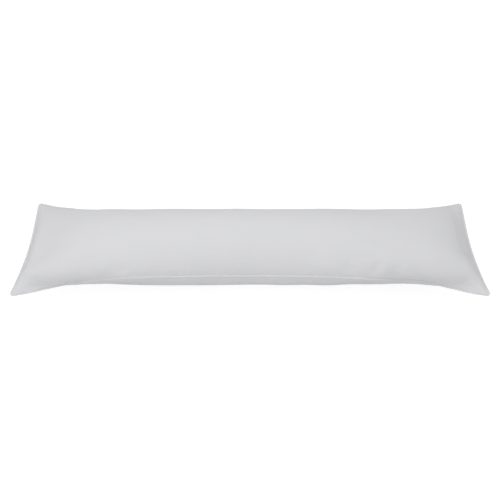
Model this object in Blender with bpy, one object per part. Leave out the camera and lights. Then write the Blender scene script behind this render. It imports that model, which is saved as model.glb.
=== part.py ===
# Body pillow: one long filled pillow, lying on its back.
#
# Two equal rectangles of cloth are sewn together all round, turned, top-stitched close to the
# edge and filled with loose fibre. The filling rounds the middle into a tube, which draws the
# long sides in, while the two straight end seams keep nearly their full width, so the four
# corners flare out as flat points. The cover and what fills it are one closed body.
#
# Frame: +X along the pillow, +Z up, the origin on the resting surface under its middle.

from collections import namedtuple
import math

import bmesh
import bpy

# Driving dimensions, in metres
LENGTH = 1.410            # corner tip to corner tip, along X
LIP_WIDTH = 0.005         # sewn edge that stands out past the stitching, all round
LIP_THICKNESS = 0.002     # four layers of cloth, pressed flat
CORNER_RADIUS = 0.009     # each corner tip, seen from above
END_DRAW_IN = 0.010       # how far the middle of an end seam is pulled inward
END_DRAW_REACH = 0.250    # distance from the end over which that pull fades out

# The filled shape, from an end seam to the middle of the pillow. The other half mirrors it.
#   from_seam    distance from the end's stitching line
#   half_width   from the centre line to the side's stitching line
#   seam_height  height of the stitching line above the resting surface
#   crown        how far the upper panel stands above the seam, at the centre line
#   belly        how far the lower panel would hang below the seam, before it rests
#   crown_form   upper panel across the pillow: 1.0 is a lens with thin edges, 0.5 an ellipse
#   belly_form   lower panel across the pillow, on the same scale
Section = namedtuple(
    "Section", "from_seam half_width seam_height crown belly crown_form belly_form"
)
SECTIONS = [
    Section(0.000, 0.190, 0.113, 0.000, 0.000, 1.00, 1.00),
    Section(0.020, 0.186, 0.109, 0.022, 0.025, 0.96, 0.94),
    Section(0.050, 0.180, 0.107, 0.040, 0.045, 0.90, 0.85),
    Section(0.100, 0.168, 0.113, 0.059, 0.066, 0.80, 0.68),
    Section(0.160, 0.153, 0.119, 0.074, 0.086, 0.70, 0.55),
    Section(0.230, 0.143, 0.119, 0.085, 0.100, 0.66, 0.52),
    Section(0.320, 0.136, 0.119, 0.094, 0.114, 0.63, 0.51),
    Section(0.450, 0.130, 0.119, 0.100, 0.122, 0.60, 0.50),
    Section(0.700, 0.126, 0.119, 0.103, 0.124, 0.58, 0.48),
]

# Mesh fineness
STATIONS_PER_HALF = 22    # sections between an end seam and the middle
STATION_CROWDING = 1.5    # above 1, sections lie closer together towards the ends
STEPS_ACROSS = 20         # facets across each panel, from seam to seam

# Cover cloth
CLOTH_COLOUR = (0.68, 0.68, 0.70, 1.0)
CLOTH_ROUGHNESS = 0.92
SHARP_ANGLE = math.radians(40)    # edges sharper than this, at the lip, stay crisp


def table_value(column, from_seam):
    """Read one column of SECTIONS on a smooth curve through its rows, level at the middle."""
    places = [row.from_seam for row in SECTIONS]
    values = [getattr(row, column) for row in SECTIONS]
    last = len(SECTIONS) - 1

    def slope(index):
        if index == last:
            return 0.0
        before = max(index - 1, 0)
        after = index + 1
        return (values[after] - values[before]) / (places[after] - places[before])

    place = min(from_seam, places[last])
    row = 0
    while row < last - 1 and place > places[row + 1]:
        row += 1
    span = places[row + 1] - places[row]
    t = (place - places[row]) / span
    value = (1 + 2 * t) * (1 - t) ** 2 * values[row]
    value += t * t * (3 - 2 * t) * values[row + 1]
    value += t * (1 - t) ** 2 * span * slope(row)
    value += t * t * (t - 1) * span * slope(row + 1)
    return value


def corner_trim(from_end):
    """How much the rounded corner takes off the outline's half width near an end."""
    if from_end >= CORNER_RADIUS:
        return 0.0
    across = CORNER_RADIUS - from_end
    return CORNER_RADIUS - math.sqrt(CORNER_RADIUS ** 2 - across ** 2)


def half_stations():
    """Distances from the outer end of the pillow to each section, up to the middle."""
    filled_length = LENGTH / 2 - LIP_WIDTH
    stations = [0.0, LIP_WIDTH / 2]
    for step in range(STATIONS_PER_HALF + 1):
        share = (step / STATIONS_PER_HALF) ** STATION_CROWDING
        stations.append(LIP_WIDTH + filled_length * share)
    return stations


def panel_steps():
    """Across one panel, from the back lip to the front one: place, overhang and swell."""
    steps = [(1.0, LIP_WIDTH, 0.0)]
    for step in range(STEPS_ACROSS + 1):
        angle = math.pi * step / STEPS_ACROSS
        steps.append((math.cos(angle), 0.0, max(math.sin(angle), 0.0)))
    steps.append((-1.0, -LIP_WIDTH, 0.0))
    return steps


def section_points(side, from_end):
    """One section's points, on the upper panel and on the lower one, from back to front."""
    from_seam = max(from_end - LIP_WIDTH, 0.0)
    half_width = table_value("half_width", from_seam) - corner_trim(from_end)
    seam_height = table_value("seam_height", from_seam)
    crown = table_value("crown", from_seam)
    belly = table_value("belly", from_seam)
    crown_power = 2 * table_value("crown_form", from_seam)
    belly_power = 2 * table_value("belly_form", from_seam)
    pull = END_DRAW_IN * max(0.0, 1.0 - from_end / END_DRAW_REACH) ** 2

    upper = []
    lower = []
    for across, overhang, swell in panel_steps():
        x = side * (LENGTH / 2 - from_end - pull * (1.0 - across ** 2))
        y = half_width * across + overhang
        top = seam_height + LIP_THICKNESS / 2 + crown * swell ** crown_power
        bottom = seam_height - LIP_THICKNESS / 2 - belly * swell ** belly_power
        upper.append((x, y, top))
        lower.append((x, y, max(bottom, 0.0)))
    return upper, lower


def build_pillow_shape():
    """Skin the sections from the left end to the right one, and close the two end lips."""
    shape = bmesh.new()
    stations = half_stations()
    places = [(-1, from_end) for from_end in stations]
    places += [(1, from_end) for from_end in reversed(stations[:-1])]

    sections = []
    for side, from_end in places:
        upper, lower = section_points(side, from_end)
        sections.append((
            [shape.verts.new(point) for point in upper],
            [shape.verts.new(point) for point in lower],
        ))

    for (upper_a, lower_a), (upper_b, lower_b) in zip(sections, sections[1:]):
        ring_a = upper_a + lower_a[::-1]
        ring_b = upper_b + lower_b[::-1]
        for point in range(len(ring_a)):
            before = point - 1
            shape.faces.new((ring_a[before], ring_a[point], ring_b[point], ring_b[before]))

    for upper, lower in (sections[0], sections[-1]):
        for point in range(1, len(upper)):
            before = point - 1
            shape.faces.new((upper[before], upper[point], lower[point], lower[before]))

    bmesh.ops.recalc_face_normals(shape, faces=shape.faces)
    return shape


def cloth_material():
    """Pale grey-white woven cotton, matt."""
    material = bpy.data.materials.new("pillow_cloth")
    material.use_nodes = True
    shader = material.node_tree.nodes["Principled BSDF"]
    shader.inputs["Base Color"].default_value = CLOTH_COLOUR
    shader.inputs["Roughness"].default_value = CLOTH_ROUGHNESS
    shader.inputs["Metallic"].default_value = 0.0
    return material


def build_pillow():
    """The filled pillow as one object, named for its node."""
    mesh = bpy.data.meshes.new("pillow")
    shape = build_pillow_shape()
    shape.to_mesh(mesh)
    shape.free()
    mesh.materials.append(cloth_material())
    mesh.shade_smooth()
    mesh.set_sharp_from_angle(angle=SHARP_ANGLE)
    pillow = bpy.data.objects.new("pillow", mesh)
    bpy.context.scene.collection.objects.link(pillow)


for leftover in list(bpy.data.objects):
    bpy.data.objects.remove(leftover, do_unlink=True)
build_pillow()
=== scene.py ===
import math

import bpy
import numpy as np
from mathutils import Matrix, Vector
from mathutils.bvhtree import BVHTree


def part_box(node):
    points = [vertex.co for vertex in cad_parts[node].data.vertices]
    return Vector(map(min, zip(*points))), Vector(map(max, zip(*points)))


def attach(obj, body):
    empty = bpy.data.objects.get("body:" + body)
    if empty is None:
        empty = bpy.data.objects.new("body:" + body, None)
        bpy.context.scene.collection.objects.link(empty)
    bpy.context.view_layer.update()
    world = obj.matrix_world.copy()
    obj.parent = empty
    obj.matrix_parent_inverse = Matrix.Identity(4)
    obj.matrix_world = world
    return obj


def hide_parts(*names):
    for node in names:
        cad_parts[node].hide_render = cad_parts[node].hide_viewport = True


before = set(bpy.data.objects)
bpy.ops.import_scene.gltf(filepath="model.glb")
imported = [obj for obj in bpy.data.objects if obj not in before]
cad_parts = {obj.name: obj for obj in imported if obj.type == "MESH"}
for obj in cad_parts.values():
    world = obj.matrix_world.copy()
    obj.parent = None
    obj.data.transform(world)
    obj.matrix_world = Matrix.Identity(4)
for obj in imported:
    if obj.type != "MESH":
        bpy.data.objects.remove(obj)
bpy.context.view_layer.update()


# ---------------------------------------------------------------------------------------------
# The cover and its filling.
# Two equal rectangles of pale, plain-woven cotton, sewn together all round, turned out and blown
# up with loose fibre. The cloth can't stretch, so the filled middle becomes a tube, the long
# sides draw in, and the cloth puckers along the stitching and dents above it.
# ---------------------------------------------------------------------------------------------

STITCHED_LENGTH = 1.440         # panel from stitching to stitching, laid flat, in metres
STITCHED_WIDTH = 0.390
SEWN_EDGE = 0.005               # folded edge outside the stitching
END_DRAW_IN = 0.0096            # the filling pulls the middle of each end seam in by this much

# The filling is blown in on a coarse cloth, which is smoothed onto a fine one afterwards.
WEAVE_STEP = 0.011              # cell of the coarse cloth
CLOTH_WEIGHT = 2.0              # cover and filling, in kilograms, carried by the cloth
FILLING_PRESSURE = 8.0
SETTLING_FRAMES = 36


def solid_surface():
    """The solid pillow's surface, to measure its shape from."""
    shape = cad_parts["pillow"].data
    corners = [vertex.co for vertex in shape.vertices]
    return BVHTree.FromPolygons(corners, [tuple(face.vertices) for face in shape.polygons])


solid_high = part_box("pillow")[1]
surface = solid_surface()


def solid_height(x, y, side):
    """Height of the solid's upper (side 1) or lower (side -1) face, or None beside it."""
    WELL_CLEAR = 2.0            # metres above or below the solid
    hit = surface.ray_cast(Vector((x, y, side * WELL_CLEAR)), Vector((0, 0, -side)))[0]
    return None if hit is None else hit.z


def solid_half_width(x):
    """Distance from the centre line to the solid's stitching line at x."""
    STEP_INWARD = 0.0002
    edge = solid_high.y
    while solid_height(x, edge, 1) is None:
        edge -= STEP_INWARD
    return edge - SEWN_EDGE


def solid_seam(x):
    """Half width and height of the solid's stitching line at x."""
    SHY_OF_END = 0.0015
    end = solid_high.x - SEWN_EDGE - SHY_OF_END
    x = max(-end, min(end, x))
    half_width = solid_half_width(x)
    beside = half_width + SEWN_EDGE / 2
    return half_width, (solid_height(x, beside, 1) + solid_height(x, beside, -1)) / 2


def panel_rows():
    """Cut places along and across a panel, in metres from its middle."""
    along = round(STITCHED_LENGTH / WEAVE_STEP)
    across = round(STITCHED_WIDTH / WEAVE_STEP)
    return (
        np.linspace(-STITCHED_LENGTH / 2, STITCHED_LENGTH / 2, along + 1),
        np.linspace(-STITCHED_WIDTH / 2, STITCHED_WIDTH / 2, across + 1),
    )


def laid_on_solid(along, across):
    """Both panels laid over the solid, as arrays of points: side, along, across, xyz."""
    ROUND_FROM = 0.200          # this far from an end, the section has gone from flat to round
    DRAW_REACH = 0.250          # the end seam's draw-in fades out over this length
    SHY_OF_END = 0.0005
    half_length = solid_high.x - SEWN_EDGE
    panels = np.zeros((2, len(along), len(across), 3))
    for i, cut_x in enumerate(along):
        reach = abs(cut_x) / (STITCHED_LENGTH / 2) * half_length
        end = math.copysign(1, cut_x)
        from_end = half_length - reach
        half_width = solid_half_width(end * min(reach, half_length - SHY_OF_END))
        pull = END_DRAW_IN * max(0.0, 1 - from_end / DRAW_REACH) ** 2
        roundness = min(1.0, from_end / ROUND_FROM)
        for j, cut_y in enumerate(across):
            share = cut_y / (STITCHED_WIDTH / 2)
            bowed = math.sin(share * math.pi / 2)
            x = end * (reach - pull * (1 - share ** 2))
            y = half_width * ((1 - roundness) * share + roundness * bowed)
            heights = [solid_height(x, y, side) for side in (1, -1)]
            if i in (0, len(along) - 1) or j in (0, len(across) - 1):
                heights = [sum(heights) / 2] * 2
            panels[0, i, j] = (x, y, heights[0])
            panels[1, i, j] = (x, y, heights[1])
    return panels


def joined_indices(rows, columns):
    """Point numbers of two panels that share the points on their seam."""
    upper = np.arange(rows * columns).reshape(rows, columns)
    lower = upper.copy()
    lower[1:-1, 1:-1] = rows * columns + np.arange((rows - 2) * (columns - 2)).reshape(
        rows - 2, columns - 2
    )
    return np.stack([upper, lower])


def panel_faces(numbers, facing_up):
    """Four-sided faces over one panel's grid of point numbers."""
    faces = np.stack(
        [numbers[:-1, :-1], numbers[1:, :-1], numbers[1:, 1:], numbers[:-1, 1:]], axis=-1
    ).reshape(-1, 4)
    return faces if facing_up else faces[:, ::-1]


def floor_for_settling():
    """A plain board under the pillow, only there while the filled cover settles on it."""
    REACH = 2
    corners = [(-REACH, -REACH, 0), (REACH, -REACH, 0), (REACH, REACH, 0), (-REACH, REACH, 0)]
    mesh = bpy.data.meshes.new("settling_floor")
    mesh.from_pydata(corners, [], [(0, 1, 2, 3)])
    board = bpy.data.objects.new("settling_floor", mesh)
    bpy.context.scene.collection.objects.link(board)
    board.modifiers.new("collision", "COLLISION")
    board.collision.thickness_outer = 0.002
    board.collision.cloth_friction = 20
    return board


def fill_with_fibre(panels, along, across):
    """Blow the sewn panels up and let them settle on the floor. Returns the panels' points."""
    START_CLEARANCE = 0.004     # above the floor
    scene = bpy.context.scene
    numbers = joined_indices(len(along), len(across))
    points = np.zeros((numbers.max() + 1, 3))
    cut = np.zeros_like(points)
    flat = np.zeros_like(panels[0])
    flat[..., 0] = along[:, None]
    flat[..., 1] = across[None, :]
    for side in (1, 0):
        points[numbers[side].ravel()] = panels[side].reshape(-1, 3)
        cut[numbers[side].ravel()] = flat.reshape(-1, 3)
    points[:, 2] += START_CLEARANCE
    faces = np.concatenate([panel_faces(numbers[0], True), panel_faces(numbers[1], False)])

    mesh = bpy.data.meshes.new("filling_cloth")
    mesh.from_pydata(points.tolist(), [], faces.tolist())
    cloth = bpy.data.objects.new("filling_cloth", mesh)
    scene.collection.objects.link(cloth)
    cloth.shape_key_add(name="sewn")
    cut_shape = cloth.shape_key_add(name="cut")
    cut_shape.data.foreach_set("co", cut.astype(np.float32).ravel())
    cut_shape.value = 0.0
    board = floor_for_settling()

    modifier = cloth.modifiers.new("cloth", "CLOTH")
    modifier.point_cache.frame_end = SETTLING_FRAMES
    modifier.collision_settings.collision_quality = 3
    modifier.collision_settings.distance_min = 0.003
    modifier.collision_settings.use_self_collision = False
    cotton = modifier.settings
    cotton.rest_shape_key = cut_shape
    cotton.quality = 8
    cotton.mass = CLOTH_WEIGHT / len(points)
    cotton.tension_stiffness = 80
    cotton.compression_stiffness = 40
    cotton.shear_stiffness = 20
    cotton.bending_stiffness = 8
    cotton.tension_damping = 15
    cotton.compression_damping = 15
    cotton.shear_damping = 10
    cotton.bending_damping = 1
    cotton.air_damping = 4
    cotton.use_pressure = True
    cotton.uniform_pressure_force = FILLING_PRESSURE

    scene.frame_end = SETTLING_FRAMES
    for frame_number in range(1, SETTLING_FRAMES + 1):
        scene.frame_set(frame_number)
    settled = cloth.evaluated_get(bpy.context.evaluated_depsgraph_get()).to_mesh()
    settled_points = np.zeros(len(points) * 3, np.float32)
    settled.vertices.foreach_get("co", settled_points)
    for helper in (cloth, board):
        helper_mesh = helper.data
        bpy.data.objects.remove(helper)
        bpy.data.meshes.remove(helper_mesh)
    scene.frame_set(1)
    return settled_points.reshape(-1, 3).astype(float)[numbers]


def blurred(values, reach):
    """Running mean with a bell-shaped weight; the first and last values carry on outward."""
    tail = 3 * reach
    offsets = np.arange(-tail, tail + 1)
    weights = np.exp(-0.5 * (offsets / reach) ** 2)
    padded = np.pad(values, tail, mode="edge")
    return np.convolve(padded, weights / weights.sum(), mode="valid")


def fitted_to_solid(panels):
    """Bring the settled cloth to the solid's length, outline and girth, all along it.

    Only broad sizes are matched, so every wrinkle stays.
    """
    SEAM_BLUR = 2               # rows
    GIRTH_BLUR = 4
    ACROSS_BLUR = 2
    THIN_TIP = 0.045            # nearer an end, the section is too thin to compare
    THIN_PLACE = 0.01           # and so is a point this close to the section's middle
    END_EASE = 0.150            # an end seam's correction fades out over this length
    half_length = solid_high.x - SEWN_EDGE
    fitted = panels.copy()
    upper, lower = fitted

    corners = upper[[0, 0, -1, -1], [0, -1, 0, -1], 0]
    fitted[..., 0] = (fitted[..., 0] - corners.mean()) * half_length / np.abs(corners).mean()
    share = across / (STITCHED_WIDTH / 2)
    for end in (0, -1):
        wanted_x = math.copysign(1, along[end]) * (half_length - END_DRAW_IN * (1 - share ** 2))
        ease = np.clip(1 - np.abs(along - along[end]) / END_EASE, 0, 1) ** 2
        fitted[..., 0] += ease[:, None] * (wanted_x - upper[end, :, 0])[None, :]

    stations = (upper[:, 0, 0] + upper[:, -1, 0]) / 2
    place = fitted[..., 0]
    wanted = np.array([solid_seam(x) for x in stations])
    centre = blurred((upper[:, 0, 1] + upper[:, -1, 1]) / 2, GIRTH_BLUR)
    half = (upper[:, -1, 1] - upper[:, 0, 1]) / 2
    seam = blurred((upper[:, 0, 2] + upper[:, -1, 2]) / 2, SEAM_BLUR)
    widening = blurred(wanted[:, 0] / half, SEAM_BLUR)
    fitted[..., 1] = (fitted[..., 1] - np.interp(place, stations, centre)) * np.interp(
        place, stations, widening
    )
    fitted[..., 2] += np.interp(place, stations, wanted[:, 1] - seam)

    stitched_half = np.interp(place, stations, wanted[:, 0])
    level = np.interp(place, stations, wanted[:, 1])
    girth = np.ones(fitted.shape[:3])
    for index in np.ndindex(girth.shape):
        x, y, z = fitted[index]
        spoke = Vector((0.0, y, z - level[index]))
        if abs(x) < half_length - THIN_TIP and spoke.length > THIN_PLACE:
            middle = Vector((x, 0.0, level[index]))
            reach = (surface.ray_cast(middle, spoke)[0] - middle).length
            if abs(spoke.y) > 0:
                reach = min(reach, stitched_half[index] * spoke.length / abs(spoke.y))
            girth[index] = reach / spoke.length
    compared = np.where(np.abs(stations) < half_length - THIN_TIP)[0]
    nearest = np.clip(np.arange(len(stations)), compared[1], compared[-2])
    girth = girth[:, nearest]
    for side in (0, 1):
        for j in range(len(across)):
            girth[side, :, j] = blurred(girth[side, :, j], GIRTH_BLUR)
        for i in range(len(along)):
            girth[side, i] = blurred(girth[side, i], ACROSS_BLUR)
    girth[:, :, (0, -1)] = 1.0
    fitted[..., 1] *= girth
    fitted[..., 2] = level + (fitted[..., 2] - level) * girth
    fitted[..., 2] = np.maximum(fitted[..., 2], 0.0)
    return fitted


def calmed(panels):
    """Flatten most of the ripples that loose fibre leaves in the long middle, not at the ends."""
    KEPT = 0.2                  # share of a ripple that stays in the middle
    RIPPLE_BLUR = 4             # rows
    ENDS_SPARED = 0.160
    from_end = along[-1] - np.abs(along)
    kept = KEPT + (1 - KEPT) * np.exp(-(from_end / ENDS_SPARED) ** 2)
    smooth = panels.copy()
    for panel in smooth:
        for j in range(panel.shape[1]):
            for axis in (1, 2):
                panel[:, j, axis] = blurred(panel[:, j, axis], RIPPLE_BLUR)
    return smooth + (panels - smooth) * kept[None, :, None, None]


along, across = panel_rows()
panels = laid_on_solid(along, across)
panels = fitted_to_solid(calmed(fill_with_fibre(panels, along, across)))

# The fine cloth: close rows near the stitching, where it puckers, and wider ones inside.
CLOSE_STEP = 0.0013
WIDE_STEP_ALONG = 0.0038
WIDE_STEP_ACROSS = 0.0045
STEP_GROWTH = 1.18


def graded_places(length, wide_step):
    """Places from 0 to length, close together at both ends."""
    steps = [CLOSE_STEP]
    while steps[-1] < wide_step:
        steps.append(steps[-1] * STEP_GROWTH)
    margin = sum(steps)
    count = round((length - 2 * margin) / wide_step)
    steps = steps + [(length - 2 * margin) / count] * count + steps[::-1]
    return np.concatenate([[0.0], np.cumsum(steps)])


def curve_weights(t):
    """How much each of four neighbouring rows counts, t of the way from the second to the third."""
    return (
        (1 - t) ** 3 / 6,
        (3 * t ** 3 - 6 * t ** 2 + 4) / 6,
        (-3 * t ** 3 + 3 * t ** 2 + 3 * t + 1) / 6,
        t ** 3 / 6,
    )


def on_smooth_cloth(panel, x, y):
    """Points of a smooth surface through one coarse panel, read at places on its cut."""
    widened = np.pad(panel, ((1, 1), (1, 1), (0, 0)), mode="reflect", reflect_type="odd")
    rows = (x / STITCHED_LENGTH + 0.5) * (len(along) - 1)
    columns = (y / STITCHED_WIDTH + 0.5) * (len(across) - 1)
    row = np.clip(rows.astype(int), 0, len(along) - 2)
    column = np.clip(columns.astype(int), 0, len(across) - 2)
    total = 0.0
    for i, row_weight in enumerate(curve_weights(rows - row)):
        for j, column_weight in enumerate(curve_weights(columns - column)):
            total = total + (row_weight * column_weight)[..., None] * widened[row + i, column + j]
    return total


def wander(place, shortest, longest, seed):
    """A smooth uneven line: waves of many lengths between two limits, about 1 high."""
    WAVES = 24
    random = np.random.RandomState(seed)
    lengths = shortest * (longest / shortest) ** random.rand(WAVES)
    starts = random.rand(WAVES) * 2 * math.pi
    waves = [np.sin(2 * math.pi * place / size + start) for size, start in zip(lengths, starts)]
    return sum(waves) / math.sqrt(WAVES / 2)


def rolling(x, y, shortest, longest, seed):
    """A smooth uneven surface: waves of many lengths and directions, about 1 high."""
    WAVES = 40
    random = np.random.RandomState(seed)
    lengths = shortest * (longest / shortest) ** random.rand(WAVES)
    turns = random.rand(WAVES) * math.pi
    starts = random.rand(WAVES) * 2 * math.pi
    total = 0.0
    for size, turn, start in zip(lengths, turns, starts):
        run = x * math.cos(turn) + y * math.sin(turn)
        total = total + np.sin(2 * math.pi * run / size + start)
    return total / math.sqrt(WAVES / 2)


def outward(points, side):
    """Unit direction out of the cloth at each point of one panel's grid."""
    tangent_along = np.gradient(points, axis=0)
    tangent_across = np.gradient(points, axis=1)
    normal = np.cross(tangent_along, tangent_across) * side
    return normal / np.linalg.norm(normal, axis=-1, keepdims=True)


fine_along = graded_places(STITCHED_LENGTH, WIDE_STEP_ALONG)
fine_across = graded_places(STITCHED_WIDTH, WIDE_STEP_ACROSS)
to_end = np.minimum(fine_along, STITCHED_LENGTH - fine_along)[:, None] + 0 * fine_across
to_side = np.minimum(fine_across, STITCHED_WIDTH - fine_across) + 0 * fine_along[:, None]


def cut_places():
    """Where each fine point lies on the flat cut, with its corners sewn round."""
    CORNER_ROUNDING = 0.007
    near_end = np.clip(1 - to_end / CORNER_ROUNDING, 0, 1)
    near_side = np.clip(1 - to_side / CORNER_ROUNDING, 0, 1)
    off_end = CORNER_ROUNDING * near_end * (1 - np.sqrt(1 - near_side ** 2 / 2))
    off_side = CORNER_ROUNDING * near_side * (1 - np.sqrt(1 - near_end ** 2 / 2))
    x = (fine_along - STITCHED_LENGTH / 2)[:, None]
    y = (fine_across - STITCHED_WIDTH / 2)[None, :]
    return x - np.sign(x) * off_end, y - np.sign(y) * off_side


cut_x, cut_y = cut_places()
cloth = np.stack([on_smooth_cloth(panel, cut_x, cut_y) for panel in panels])

# Soft dents and swells, pressed by hand into the upper panel.
#   along, across   place on the laid-flat panel, from its middle; the front is at -0.195
#   length, width   reach along and across the pillow
#   height          outward, so a dent is below zero
#   slant           how far it leans along the pillow over its width
DENTS = np.array([
    # along  across  length  width   height   slant
    (-0.452, -0.150, 0.015, 0.030, 0.0030, 0.40),
    (-0.392, -0.150, 0.020, 0.026, -0.0036, 0.25),
    (0.300, -0.150, 0.012, 0.020, -0.0020, -0.20),
    (0.345, -0.140, 0.026, 0.030, 0.0016, 0.20),
    (0.385, -0.150, 0.014, 0.030, -0.0036, 0.20),
    (0.412, -0.150, 0.010, 0.030, 0.0020, 0.20),
    (0.442, -0.155, 0.013, 0.024, -0.0034, 0.10),
    (0.478, -0.145, 0.014, 0.030, 0.0024, -0.10),
    (0.525, -0.150, 0.024, 0.032, -0.0034, -0.20),
    (-0.100, -0.030, 0.080, 0.060, -0.0012, 0.30),
    (0.070, -0.040, 0.080, 0.050, 0.0020, 0.20),
    (-0.430, 0.020, 0.090, 0.070, 0.0014, 0.20),
])
# The upper panel swells out over its front seam and over the left end seam.
#   place    along the front seam from its middle, or across the pillow at an end
#   height   at the fullest place
#   peak     distance of that place from the stitching
FRONT_PUFF = np.array([
    # place   height   peak
    (-0.720, 0.0000, 0.030),
    (-0.695, 0.0035, 0.030),
    (-0.650, 0.0090, 0.055),
    (-0.600, 0.0125, 0.075),
    (-0.540, 0.0105, 0.080),
    (-0.480, 0.0065, 0.080),
    (-0.420, 0.0030, 0.070),
    (-0.330, 0.0000, 0.060),
    (0.000, 0.0000, 0.060),
    (0.300, 0.0000, 0.060),
    (0.360, 0.0030, 0.070),
    (0.420, 0.0060, 0.080),
    (0.500, 0.0100, 0.085),
    (0.560, 0.0130, 0.085),
    (0.620, 0.0120, 0.075),
    (0.670, 0.0070, 0.050),
    (0.695, 0.0035, 0.030),
    (0.720, 0.0000, 0.030),
])
LEFT_PUFF = np.array([
    # place   height   peak
    (-0.170, 0.0000, 0.030),
    (-0.120, 0.0020, 0.036),
    (-0.050, 0.0050, 0.044),
    (0.080, 0.0060, 0.046),
    (0.150, 0.0040, 0.044),
    (0.195, 0.0010, 0.040),
])
# Towards the ends the front seam is rolled under, and the upper panel bulges out above it.
#   place          along the front seam from its middle
#   inward, drop   how far the seam moves back and down
#   bulge          how far the upper panel stands out above it
#   tuck           how far the lower panel is drawn in below it
FRONT_ROLL = np.array([
    # place   inward  drop    bulge   tuck
    (-0.720, 0.0000, 0.0000, 0.0000, 0.0000),
    (-0.695, 0.0125, 0.0085, 0.0085, 0.0000),
    (-0.655, 0.0280, 0.0265, 0.0170, 0.0000),
    (-0.600, 0.0295, 0.0340, 0.0190, 0.0000),
    (-0.550, 0.0240, 0.0290, 0.0145, 0.0000),
    (-0.500, 0.0140, 0.0165, 0.0080, 0.0035),
    (-0.440, 0.0045, 0.0050, 0.0020, 0.0080),
    (-0.380, 0.0000, 0.0000, 0.0000, 0.0060),
    (-0.250, 0.0000, -0.0010, 0.0000, 0.0000),
    (0.000, 0.0000, 0.0000, 0.0000, 0.0000),
    (0.240, 0.0000, 0.0000, 0.0000, 0.0000),
    (0.290, 0.0000, 0.0020, 0.0000, 0.0040),
    (0.335, 0.0000, 0.0035, 0.0000, 0.0085),
    (0.380, 0.0010, 0.0050, 0.0010, 0.0110),
    (0.440, 0.0090, 0.0115, 0.0050, 0.0110),
    (0.500, 0.0230, 0.0245, 0.0110, 0.0050),
    (0.550, 0.0310, 0.0330, 0.0155, -0.0020),
    (0.600, 0.0330, 0.0370, 0.0165, -0.0030),
    (0.655, 0.0280, 0.0275, 0.0140, 0.0000),
    (0.695, 0.0125, 0.0090, 0.0065, 0.0000),
    (0.720, 0.0000, 0.0000, 0.0000, 0.0000),
])
ROLL_REACH = 0.055              # distances from the front stitching
BULGE_PEAK = 0.042
BULGE_REACH = 0.034
TUCK_PEAK = 0.055
TUCK_REACH = 0.030
# The filling is pushed up against the right end, which stands out as a rounded shoulder.
#   place    across the pillow from its middle
#   height   at the fullest place
#   peak     distance of that place from the stitching
RIGHT_SHOULDER = np.array([
    # place   height   peak
    (-0.190, 0.0000, 0.015),
    (-0.170, 0.0040, 0.024),
    (-0.150, 0.0068, 0.037),
    (-0.125, 0.0108, 0.052),
    (-0.100, 0.0130, 0.064),
    (-0.060, 0.0140, 0.078),
    (-0.030, 0.0140, 0.083),
    (0.030, 0.0130, 0.078),
    (0.070, 0.0122, 0.070),
    (0.110, 0.0120, 0.070),
    (0.150, 0.0085, 0.064),
    (0.195, 0.0030, 0.050),
])
LUMP_HEIGHT = 0.0005            # loose fibre under the cloth
LUMP_SIZES = (0.11, 0.30)
LUMP_SEEDS = (11, 12)
EDGE_SPARED = 0.025             # lumps and dents fade out towards the stitching
PUCKER_HEIGHT = 0.0010
PUCKER_SIZES = (0.011, 0.026)   # from fold to fold, along the seam
PUCKER_REACH = 0.016            # how far they run in from the stitching
PUCKER_START = 0.004
PUCKER_SLANT = 0.7
PUCKER_SEEDS = (30, 70)


def pucker_heights(seed):
    """Small folds that run in from the stitching and die out, deeper in some places."""
    DEPTH_SIZES = (0.09, 0.30)
    REACH_SIZES = (0.03, 0.08)
    total = 0.0
    for distance, place, number in ((to_side, cut_x, 0), (to_end, cut_y, 1)):
        lean = PUCKER_SLANT * distance * np.sign(place)
        folds = wander(place + lean, *PUCKER_SIZES, seed + number)
        depth = 0.6 + 0.4 * wander(place, *DEPTH_SIZES, seed + number + 10)
        longer = 0.8 + 0.4 * np.abs(wander(place, *REACH_SIZES, seed + number + 20))
        reach = PUCKER_REACH * longer
        fade = np.exp(-distance / reach) * (1 - np.exp(-distance / PUCKER_START))
        total = total + folds * depth * fade
    return PUCKER_HEIGHT * total


def table_curve(place, table, column):
    """One column of a table of places, read on a smooth curve along its rows."""
    REACH = 0.75                # past both ends of every table
    FINE_STEP = 0.0025
    SMOOTHING = 6               # fine steps
    fine = np.arange(-REACH, REACH, FINE_STEP)
    curve = blurred(np.interp(fine, table[:, 0], table[:, column]), SMOOTHING)
    return np.interp(place, fine, curve)


def puffed(place, distance, table, climb):
    """Height of the swelling beside a seam. It climbs to its peak and falls away behind it."""
    BEHIND = 1.5                # how quickly it falls away
    rise = np.maximum(distance, 0) / table_curve(place, table, 2)
    height = table_curve(place, table, 1) * climb(np.minimum(rise, 1))
    return height * np.exp(-BEHIND * np.maximum(rise - 1, 0) ** 2)


def steep_climb(rise):
    """From 0 to 1, leaving the seam at once."""
    return rise ** 0.8


def soft_climb(rise):
    """From 0 to 1, starting and ending gently."""
    return rise ** 1.5 * (2.5 - 1.5 * rise)


def shoulder(place, distance, table):
    """Height of a rounded shoulder along a seam. It rises late and falls away slowly."""
    WIDTH_BEFORE = 0.38         # shares of the peak's distance
    WIDTH_BEHIND = 1.10
    past = distance / table_curve(place, table, 2) - 1
    width = np.where(past < 0, WIDTH_BEFORE, WIDTH_BEHIND)
    return table_curve(place, table, 1) * np.exp(-(past / width) ** 2)


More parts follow.
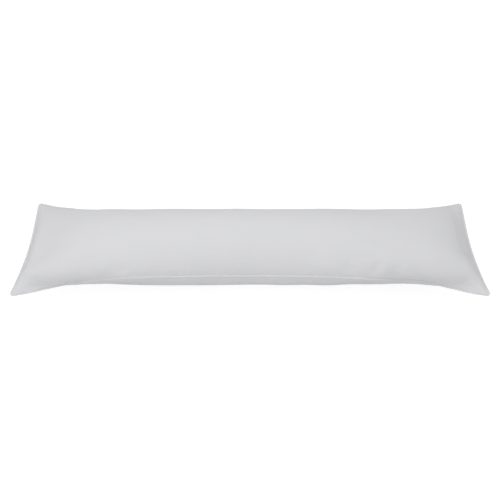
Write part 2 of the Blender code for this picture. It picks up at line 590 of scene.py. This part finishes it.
to_seam = np.minimum(to_end, to_side)
spared = 1 - np.exp(-(to_seam / EDGE_SPARED) ** 2)
to_front = cut_y + STITCHED_WIDTH / 2
inward, drop, bulge, tuck = [table_curve(cut_x, FRONT_ROLL, column) for column in (1, 2, 3, 4)]
cloth[..., 1] += inward * np.exp(-(to_front / ROLL_REACH) ** 2)
cloth[..., 2] -= drop * np.exp(-(to_front / ROLL_REACH) ** 2)
for side, panel in zip((1, -1), cloth):
    number = 0 if side == 1 else 1
    swell = LUMP_HEIGHT * rolling(cut_x, cut_y, *LUMP_SIZES, LUMP_SEEDS[number]) * spared
    if side == 1:
        for place_along, place_across, length, width, height, slant in DENTS:
            off_y = cut_y - place_across
            off_x = cut_x - place_along - slant * off_y
            swell += height * np.exp(-(off_x / length) ** 2 - (off_y / width) ** 2) * spared
        swell += puffed(cut_x, to_front, FRONT_PUFF, steep_climb)
        swell += bulge * np.exp(-((to_front - BULGE_PEAK) / BULGE_REACH) ** 2)
        swell += puffed(cut_y, cut_x + STITCHED_LENGTH / 2, LEFT_PUFF, soft_climb)
        swell += shoulder(cut_y, STITCHED_LENGTH / 2 - cut_x, RIGHT_SHOULDER)
    else:
        swell -= tuck * np.exp(-((to_front - TUCK_PEAK) / TUCK_REACH) ** 2)
    swell += pucker_heights(PUCKER_SEEDS[number])
    panel += outward(panel, side) * swell[..., None]
cloth[..., 2] = np.maximum(cloth[..., 2], 0.0)

# Corners pulled out a little by hand, after turning the cover the right way out.
#   along, across    the middle of the pull on the laid-flat panel
#   reach            how far it is felt
#   x, y, z          how far the cloth moves
PULLS = np.array([
    # along  across  reach   x       y       z
    (-0.720, -0.195, 0.050, -0.0075, 0.001, -0.0125),
    (0.720, -0.195, 0.050, 0.0065, 0.001, -0.0125),
    (-0.720, -0.195, 0.024, -0.005, 0.000, -0.001),
    (0.720, -0.195, 0.024, 0.007, 0.000, -0.001),
    (-0.690, 0.195, 0.028, 0.000, 0.001, 0.001),
    (0.690, 0.195, 0.028, 0.000, 0.001, 0.001),
])
for place_along, place_across, reach, *shift in PULLS:
    apart = np.hypot(cut_x - place_along, cut_y - place_across)
    cloth += np.exp(-(apart / reach) ** 2)[None, ..., None] * shift

# The sewn edge: four layers folded together, pinched by the stitching and rounded at the fold.
#   out      from the stitching towards the fold
#   height   above the middle of the layers
EDGE_PROFILE = np.array([
    # out    height
    (0.0000, 0.0005),
    (0.0009, 0.0010),
    (0.0022, 0.0012),
    (0.0036, 0.0011),
    (0.0046, 0.0007),
    (0.0050, 0.0000),
])
EDGE_FLUTTER = 0.0003           # the fold isn't quite straight
FLUTTER_WAVES = (61, 83, 97, 131)       # once round the pillow
# It hangs down along the round middle, turns under with the front seam towards the ends, and
# stands straight out at the corners.
#   place         along the pillow from its middle
#   front, back   how far it hangs down, in degrees
EDGE_DROOP = np.array([
    # place  front  back
    (-0.700, 0, 0),
    (-0.650, 20, 0),
    (-0.600, 50, 2),
    (-0.520, 65, 12),
    (-0.420, 65, 25),
    (-0.300, 50, 25),
    (-0.220, 28, 25),
    (0.330, 25, 25),
    (0.420, 45, 25),
    (0.520, 65, 12),
    (0.600, 55, 2),
    (0.645, 20, 0),
    (0.700, 0, 0),
])


def edge_numbers(numbers):
    """The panel's outermost point numbers in order, once round."""
    return np.concatenate(
        [numbers[:-1, 0], numbers[-1, :-1], numbers[:0:-1, -1], numbers[0, :0:-1]]
    )


rows, columns = cut_x.shape
panel_points = rows * columns
upper_numbers = np.arange(panel_points).reshape(rows, columns)
lower_numbers = upper_numbers + panel_points
stitching = cloth.mean(axis=0).reshape(-1, 3)[edge_numbers(upper_numbers)]
cut = np.stack([cut_x, cut_y], axis=-1).reshape(-1, 2)
stitching_cut = cut[edge_numbers(upper_numbers)]
forward = np.roll(stitching, -2, axis=0) - np.roll(stitching, 2, axis=0)
forward /= np.linalg.norm(forward, axis=1, keepdims=True)
edge_out = np.cross(forward, (0.0, 0.0, 1.0))
edge_out /= np.linalg.norm(edge_out, axis=1, keepdims=True)
edge_up = np.cross(edge_out, forward)
front_droop, back_droop = [table_curve(stitching[:, :1], EDGE_DROOP, side) for side in (1, 2)]
droop = np.radians(np.where(stitching[:, 1:2] < 0, front_droop, back_droop))
edge_out, edge_up = (
    edge_out * np.cos(droop) - edge_up * np.sin(droop),
    edge_up * np.cos(droop) + edge_out * np.sin(droop),
)
edge_run = np.concatenate([[0.0], np.cumsum(np.linalg.norm(np.diff(stitching, axis=0), axis=1))])
edge_length = edge_run[-1] + np.linalg.norm(stitching[0] - stitching[-1])


def edge_ring(out, height):
    """Points at one place of the edge profile, all round the pillow."""
    turns = edge_run / edge_length * 2 * math.pi
    flutter = sum(np.sin(turns * count + count) for count in FLUTTER_WAVES) / len(FLUTTER_WAVES)
    lift = height + EDGE_FLUTTER * flutter * out / SEWN_EDGE
    return stitching + edge_out * out + edge_up * lift[:, None]


half_profile = [tuple(row) for row in EDGE_PROFILE]
full_profile = half_profile + [(out, -height) for out, height in half_profile[-2::-1]]
pinch = EDGE_PROFILE[0, 1]
for panel, side in zip(cloth, (1, -1)):
    flat_panel = panel.reshape(-1, 3)
    flat_panel[edge_numbers(upper_numbers)] = stitching + edge_up * pinch * side

inner_rings = [edge_ring(out, height) for out, height in full_profile[1:-1]]
ring_size = len(stitching)
ring_numbers = [edge_numbers(upper_numbers)]
for ring in range(len(inner_rings)):
    ring_numbers.append(2 * panel_points + ring * ring_size + np.arange(ring_size))
ring_numbers.append(edge_numbers(lower_numbers))

faces = [panel_faces(upper_numbers, True), panel_faces(lower_numbers, False)]
for first, second in zip(ring_numbers, ring_numbers[1:]):
    faces.append(np.stack([first, second, np.roll(second, -1), np.roll(first, -1)], axis=1))
faces = np.concatenate(faces)
points = np.concatenate([cloth.reshape(-1, 3)] + inner_rings)
outs = [out for out, height in full_profile[1:-1]]
ring_cuts = [stitching_cut + edge_out[:, :2] * out for out in outs]
cuts = np.concatenate([cut, cut] + ring_cuts)

# The cloth as cut and laid flat is kept as a map, so that the weave runs true on every panel.
cover_mesh = bpy.data.meshes.new("cover")
cover_mesh.from_pydata(points.tolist(), [], faces.tolist())
cut_cloth = cover_mesh.uv_layers.new(name="cut_cloth")
cut_cloth.uv.foreach_set("vector", cuts[faces.ravel()].astype(np.float32).ravel())
cover_mesh.shade_smooth()
cover = bpy.data.objects.new("cover", cover_mesh)
bpy.context.scene.collection.objects.link(cover)


def new_group(name, inputs, outputs):
    """An empty shader group. Inputs are name, kind and value; outputs are name and kind."""
    group = bpy.data.node_groups.new(name, "ShaderNodeTree")
    for label, kind, value in inputs:
        socket = group.interface.new_socket(label, in_out="INPUT", socket_type=kind)
        if value is not None:
            socket.default_value = value
    for label, kind in outputs:
        group.interface.new_socket(label, in_out="OUTPUT", socket_type=kind)
    return group, group.nodes.new("NodeGroupInput"), group.nodes.new("NodeGroupOutput")


def math_node(tree, operation, first, second=None):
    """A math node on two values, each a socket or a number. Returns its output."""
    node = tree.nodes.new("ShaderNodeMath")
    node.operation = operation
    for index, value in enumerate((first, second)):
        if isinstance(value, bpy.types.NodeSocket):
            tree.links.new(value, node.inputs[index])
        elif value is not None:
            node.inputs[index].default_value = value
    return node.outputs[0]


def plain_weave_group():
    """Plain weave: each thread goes over one and under the next. Gives height, 0 to 1."""
    DIP = 0.3                   # how far a thread sinks between two crossings
    group, given, result = new_group(
        "plain_weave",
        [("Place", "NodeSocketVector", None), ("Thread Spacing", "NodeSocketFloat", 0.0006)],
        [("Height", "NodeSocketFloat")],
    )
    split = group.nodes.new("ShaderNodeSeparateXYZ")
    group.links.new(given.outputs["Place"], split.inputs[0])
    heights = []
    counts = [
        math_node(group, "DIVIDE", split.outputs[axis], given.outputs["Thread Spacing"])
        for axis in ("X", "Y")
    ]
    numbers = [math_node(group, "FLOOR", count) for count in counts]
    for thread, other, phase in ((0, 1, 0.0), (1, 0, 1.0)):
        across_thread = math_node(group, "FRACT", counts[thread])
        bulge = math_node(group, "SINE", math_node(group, "MULTIPLY", across_thread, math.pi))
        crossing = math_node(group, "ADD", numbers[thread], phase)
        along_thread = math_node(group, "ADD", counts[other], crossing)
        wave = math_node(group, "COSINE", math_node(group, "MULTIPLY", along_thread, math.pi))
        raised = math_node(group, "ADD", math_node(group, "MULTIPLY", wave, DIP), 1 - DIP)
        heights.append(math_node(group, "MULTIPLY", bulge, raised))
    group.links.new(math_node(group, "MAXIMUM", *heights), result.inputs["Height"])
    return group


def uneven_dye_group():
    """Slow drift of shade through the cloth or thread. Gives a mask, 0 to 1."""
    group, given, result = new_group(
        "uneven_dye",
        [("Place", "NodeSocketVector", None), ("Patches Per Metre", "NodeSocketFloat", 5.0)],
        [("Mask", "NodeSocketFloat")],
    )
    noise = group.nodes.new("ShaderNodeTexNoise")
    noise.inputs["Detail"].default_value = 3.0
    noise.inputs["Roughness"].default_value = 0.45
    group.links.new(given.outputs["Place"], noise.inputs["Vector"])
    group.links.new(given.outputs["Patches Per Metre"], noise.inputs["Scale"])
    group.links.new(noise.outputs["Fac"], result.inputs["Mask"])
    return group


plain_weave = plain_weave_group()
uneven_dye = uneven_dye_group()


def place_group(material, group, **values):
    """Put a shader group into a material and set its plain inputs."""
    node = material.node_tree.nodes.new("ShaderNodeGroup")
    node.node_tree = group
    for label, value in values.items():
        node.inputs[label.replace("_", " ")].default_value = value
    return node


def mixed_colour(tree, mask, first, second):
    """A colour between two, by a mask. Returns its output."""
    mix = tree.nodes.new("ShaderNodeMix")
    mix.data_type = "RGBA"
    mix.inputs["A"].default_value = first
    mix.inputs["B"].default_value = second
    tree.links.new(mask, mix.inputs["Factor"])
    return mix.outputs["Result"]


def cotton_material():
    """Pale grey-white combed cotton, matt with a faint bloom of fibre ends."""
    SHADE_LOW = (0.640, 0.642, 0.655, 1.0)
    SHADE_HIGH = (0.690, 0.690, 0.705, 1.0)
    material = bpy.data.materials.new("cotton_cover")
    material.use_nodes = True
    tree = material.node_tree
    shader = tree.nodes["Principled BSDF"]
    shader.inputs["Roughness"].default_value = 0.88
    shader.inputs["Specular IOR Level"].default_value = 0.25
    shader.inputs["Sheen Weight"].default_value = 0.12
    shader.inputs["Sheen Roughness"].default_value = 0.45

    body = tree.nodes.new("ShaderNodeTexCoord")
    dye = place_group(material, uneven_dye, Patches_Per_Metre=4.0)
    tree.links.new(body.outputs["Object"], dye.inputs["Place"])
    tree.links.new(
        mixed_colour(tree, dye.outputs["Mask"], SHADE_LOW, SHADE_HIGH), shader.inputs["Base Color"]
    )

    cut = tree.nodes.new("ShaderNodeUVMap")
    cut.uv_map = "cut_cloth"
    weave = place_group(material, plain_weave, Thread_Spacing=0.0006)
    tree.links.new(cut.outputs["UV"], weave.inputs["Place"])
    bump = tree.nodes.new("ShaderNodeBump")
    bump.inputs["Strength"].default_value = 0.5
    bump.inputs["Distance"].default_value = 0.0001
    tree.links.new(weave.outputs["Height"], bump.inputs["Height"])
    tree.links.new(bump.outputs["Normal"], shader.inputs["Normal"])
    return material


cover_mesh.materials.append(cotton_material())
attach(cover, "root")
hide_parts("pillow")


# ---------------------------------------------------------------------------------------------
# The top-stitching.
# One row of lockstitch in matching polyester thread, run all round through the folded edge close
# to the filling. Every stitch is drawn down into the cloth at both ends, on both faces.
# ---------------------------------------------------------------------------------------------

STITCH_PITCH = 0.0032           # from one needle hole to the next
STITCH_LENGTH = 0.0028          # thread that shows between two holes
THREAD_THICKNESS = 0.00045
THREAD_SIDES = 6
TWIST_LENGTH = 0.0009           # one turn of the plies
STITCH_OUT = 0.0004             # from the foot of the panel towards the fold
CLOTH_HEIGHT = 0.0007           # of the edge profile there
STITCH_LEAN = 0.00012           # a lockstitch lies a little askew
STITCH_UNEVENNESS = 0.00010
UNEVENNESS_SEED = 5
#   share       along the stitch, from its middle
#   lift        of the thread's centre above the cloth
#   thickness   share of the full thread
STITCH_SHAPE = np.array([
    # share  lift      thickness
    (-0.50, -0.00030, 0.60),
    (-0.36, 0.00004, 0.92),
    (0.00, 0.00016, 1.00),
    (0.36, 0.00004, 0.92),
    (0.50, -0.00030, 0.60),
])


def along_edge(run, values):
    """Values given at each point of the stitching line, read at other distances along it."""
    closed_run = np.append(edge_run, edge_length)
    closed = np.concatenate([values, values[:1]])
    return np.stack([np.interp(run % edge_length, closed_run, column) for column in closed.T], -1)


stitch_count = round(edge_length / STITCH_PITCH)
random = np.random.RandomState(UNEVENNESS_SEED)
thread_points = []
thread_places = []
for face in (1, -1):
    middles = np.arange(stitch_count) * edge_length / stitch_count
    middles += STITCH_UNEVENNESS * random.randn(stitch_count)
    leans = STITCH_LEAN * face + 0.5 * STITCH_UNEVENNESS * random.randn(stitch_count)
    for share, lift, thickness in STITCH_SHAPE:
        radius = thickness * THREAD_THICKNESS / 2
        run = middles + share * STITCH_LENGTH
        foot = along_edge(run, stitching)
        out = along_edge(run, edge_out)
        up = along_edge(run, edge_up)
        centre = foot + out * (STITCH_OUT + 2 * share * leans)[:, None]
        centre += up * (CLOTH_HEIGHT + lift) * face
        for spoke in range(THREAD_SIDES):
            turn = 2 * math.pi * spoke / THREAD_SIDES
            thread_points.append(centre + radius * (out * math.cos(turn) + up * math.sin(turn)))
            place = np.full(stitch_count, spoke / THREAD_SIDES)
            thread_places.append(np.stack([run / TWIST_LENGTH, place], axis=1))

# Points are numbered face by face, row by row of the shape, spoke by spoke, then by stitch.
ring_count = len(STITCH_SHAPE)
numbers = np.arange(2 * ring_count * THREAD_SIDES * stitch_count)
numbers = numbers.reshape(2, ring_count, THREAD_SIDES, stitch_count)
turned = np.roll(numbers, -1, axis=2)
thread_faces = np.stack(
    [numbers[:, :-1], numbers[:, 1:], turned[:, 1:], turned[:, :-1]], axis=-1
).reshape(-1, 4)
thread_ends = [numbers[:, 0].transpose(0, 2, 1), numbers[:, -1, ::-1].transpose(0, 2, 1)]
thread_ends = np.concatenate([end.reshape(-1, THREAD_SIDES) for end in thread_ends])

stitch_mesh = bpy.data.meshes.new("top_stitching")
stitch_mesh.from_pydata(
    np.concatenate(thread_points).tolist(), [], thread_faces.tolist() + thread_ends.tolist()
)
thread_run = stitch_mesh.uv_layers.new(name="thread_run")
thread_corners = np.concatenate([thread_faces.ravel(), thread_ends.ravel()])
thread_run.uv.foreach_set(
    "vector", np.concatenate(thread_places)[thread_corners].astype(np.float32).ravel()
)
stitch_mesh.shade_smooth()
top_stitching = bpy.data.objects.new("top_stitching", stitch_mesh)
bpy.context.scene.collection.objects.link(top_stitching)


def thread_material():
    """Spun polyester sewing thread: three twisted plies with a slight shine."""
    SHADE_LOW = (0.620, 0.622, 0.635, 1.0)
    SHADE_HIGH = (0.680, 0.680, 0.695, 1.0)
    material = bpy.data.materials.new("sewing_thread")
    material.use_nodes = True
    tree = material.node_tree
    shader = tree.nodes["Principled BSDF"]
    shader.inputs["Roughness"].default_value = 0.55
    shader.inputs["Specular IOR Level"].default_value = 0.35
    shader.inputs["Sheen Weight"].default_value = 0.10
    shader.inputs["Sheen Roughness"].default_value = 0.40

    body = tree.nodes.new("ShaderNodeTexCoord")
    dye = place_group(material, uneven_dye, Patches_Per_Metre=90.0)
    tree.links.new(body.outputs["Object"], dye.inputs["Place"])
    tree.links.new(
        mixed_colour(tree, dye.outputs["Mask"], SHADE_LOW, SHADE_HIGH), shader.inputs["Base Color"]
    )

    run = tree.nodes.new("ShaderNodeUVMap")
    run.uv_map = "thread_run"
    plies = tree.nodes.new("ShaderNodeTexWave")
    plies.wave_type = "BANDS"
    plies.bands_direction = "DIAGONAL"
    plies.inputs["Scale"].default_value = 1.0
    tree.links.new(run.outputs["UV"], plies.inputs["Vector"])
    bump = tree.nodes.new("ShaderNodeBump")
    bump.inputs["Strength"].default_value = 0.6
    bump.inputs["Distance"].default_value = 0.00008
    tree.links.new(plies.outputs["Fac"], bump.inputs["Height"])
    tree.links.new(bump.outputs["Normal"], shader.inputs["Normal"])
    return material


stitch_mesh.materials.append(thread_material())
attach(top_stitching, "root")


# ---------------------------------------------------------------------------------------------
# The floor, the lights and the camera.
# A plain pale floor in an evenly lit white room, three soft lamps, the strongest overhead and a
# little to the left, and a camera that looks down on the pillow from its long front side.
# ---------------------------------------------------------------------------------------------

FLOOR_REACH = 20.0


def seen_apart(tree, bounced, seen, output):
    """Let the camera see one shader, while the room's light comes from another."""
    eye = tree.nodes.new("ShaderNodeLightPath")
    either = tree.nodes.new("ShaderNodeMixShader")
    tree.links.new(eye.outputs["Is Camera Ray"], either.inputs[0])
    tree.links.new(bounced.outputs[0], either.inputs[1])
    tree.links.new(seen.outputs[0], either.inputs[2])
    tree.links.new(either.outputs[0], output.inputs["Surface"])


floor_mesh = bpy.data.meshes.new("floor")
floor_mesh.from_pydata(
    [
        (-FLOOR_REACH, -FLOOR_REACH, 0), (FLOOR_REACH, -FLOOR_REACH, 0),
        (FLOOR_REACH, FLOOR_REACH, 0), (-FLOOR_REACH, FLOOR_REACH, 0),
    ],
    [], [(0, 1, 2, 3)],
)
floor = bpy.data.objects.new("floor", floor_mesh)
bpy.context.scene.collection.objects.link(floor)
floor_paint = bpy.data.materials.new("floor_paint")
floor_paint.use_nodes = True
floor_tree = floor_paint.node_tree
bounced = floor_tree.nodes["Principled BSDF"]
bounced.inputs["Base Color"].default_value = (0.80, 0.80, 0.80, 1.0)
bounced.inputs["Roughness"].default_value = 0.9
bounced.inputs["Specular IOR Level"].default_value = 0.1
seen = floor_tree.nodes.new("ShaderNodeBsdfPrincipled")
seen.inputs["Base Color"].default_value = (0.30, 0.30, 0.30, 1.0)
seen.inputs["Roughness"].default_value = 0.9
seen.inputs["Specular IOR Level"].default_value = 0.1
seen.inputs["Emission Color"].default_value = (1.0, 1.0, 1.0, 1.0)
seen.inputs["Emission Strength"].default_value = 0.84
seen_apart(floor_tree, bounced, seen, floor_tree.nodes["Material Output"])
floor_mesh.materials.append(floor_paint)

room = bpy.data.worlds.new("room")
room.use_nodes = True
room_tree = room.node_tree
room_light = room_tree.nodes["Background"]
room_light.inputs["Color"].default_value = (1.0, 1.0, 1.0, 1.0)
room_light.inputs["Strength"].default_value = 0.66
room_wall = room_tree.nodes.new("ShaderNodeBackground")
room_wall.inputs["Color"].default_value = (1.0, 1.0, 1.0, 1.0)
room_wall.inputs["Strength"].default_value = 1.0
seen_apart(room_tree, room_light, room_wall, room_tree.nodes["World Output"])
bpy.context.scene.world = room
bpy.context.scene.view_settings.view_transform = "Standard"


def soft_light(name, place, watts):
    """A square lamp near the pillow, facing its middle. The camera sees only its light."""
    LAMP_SIZE = 1.8             # metres
    lamp = bpy.data.lights.new(name, "AREA")
    lamp.shape = "SQUARE"
    lamp.size = LAMP_SIZE
    lamp.energy = watts
    light = bpy.data.objects.new(name, lamp)
    light.location = place
    light.rotation_mode = "QUATERNION"
    light.rotation_quaternion = (-Vector(place)).to_track_quat("-Z", "Y")
    light.visible_camera = False
    bpy.context.scene.collection.objects.link(light)


soft_light("overhead_light", (-0.4, 0.0, 2.8), 24.5)
soft_light("front_light", (-0.3, -2.8, 1.3), 15.0)
soft_light("back_light", (0.0, 2.6, 2.6), 2.0)

CAMERA_RISE = math.radians(47.2)        # above the horizon
CAMERA_DISTANCE = 2.199
CAMERA_AIM = Vector((0.0, 0.0, 0.094))
FOCAL_LENGTH = 50.0                     # millimetres, on the usual 36 mm frame
lens = bpy.data.cameras.new("camera")
lens.lens = FOCAL_LENGTH
camera = bpy.data.objects.new("camera", lens)
backward = Vector((0.0, -math.cos(CAMERA_RISE), math.sin(CAMERA_RISE)))
camera.location = CAMERA_AIM + backward * CAMERA_DISTANCE
camera.rotation_mode = "QUATERNION"
camera.rotation_quaternion = (-backward).to_track_quat("-Z", "Y")
bpy.context.scene.collection.objects.link(camera)
bpy.context.scene.camera = camera
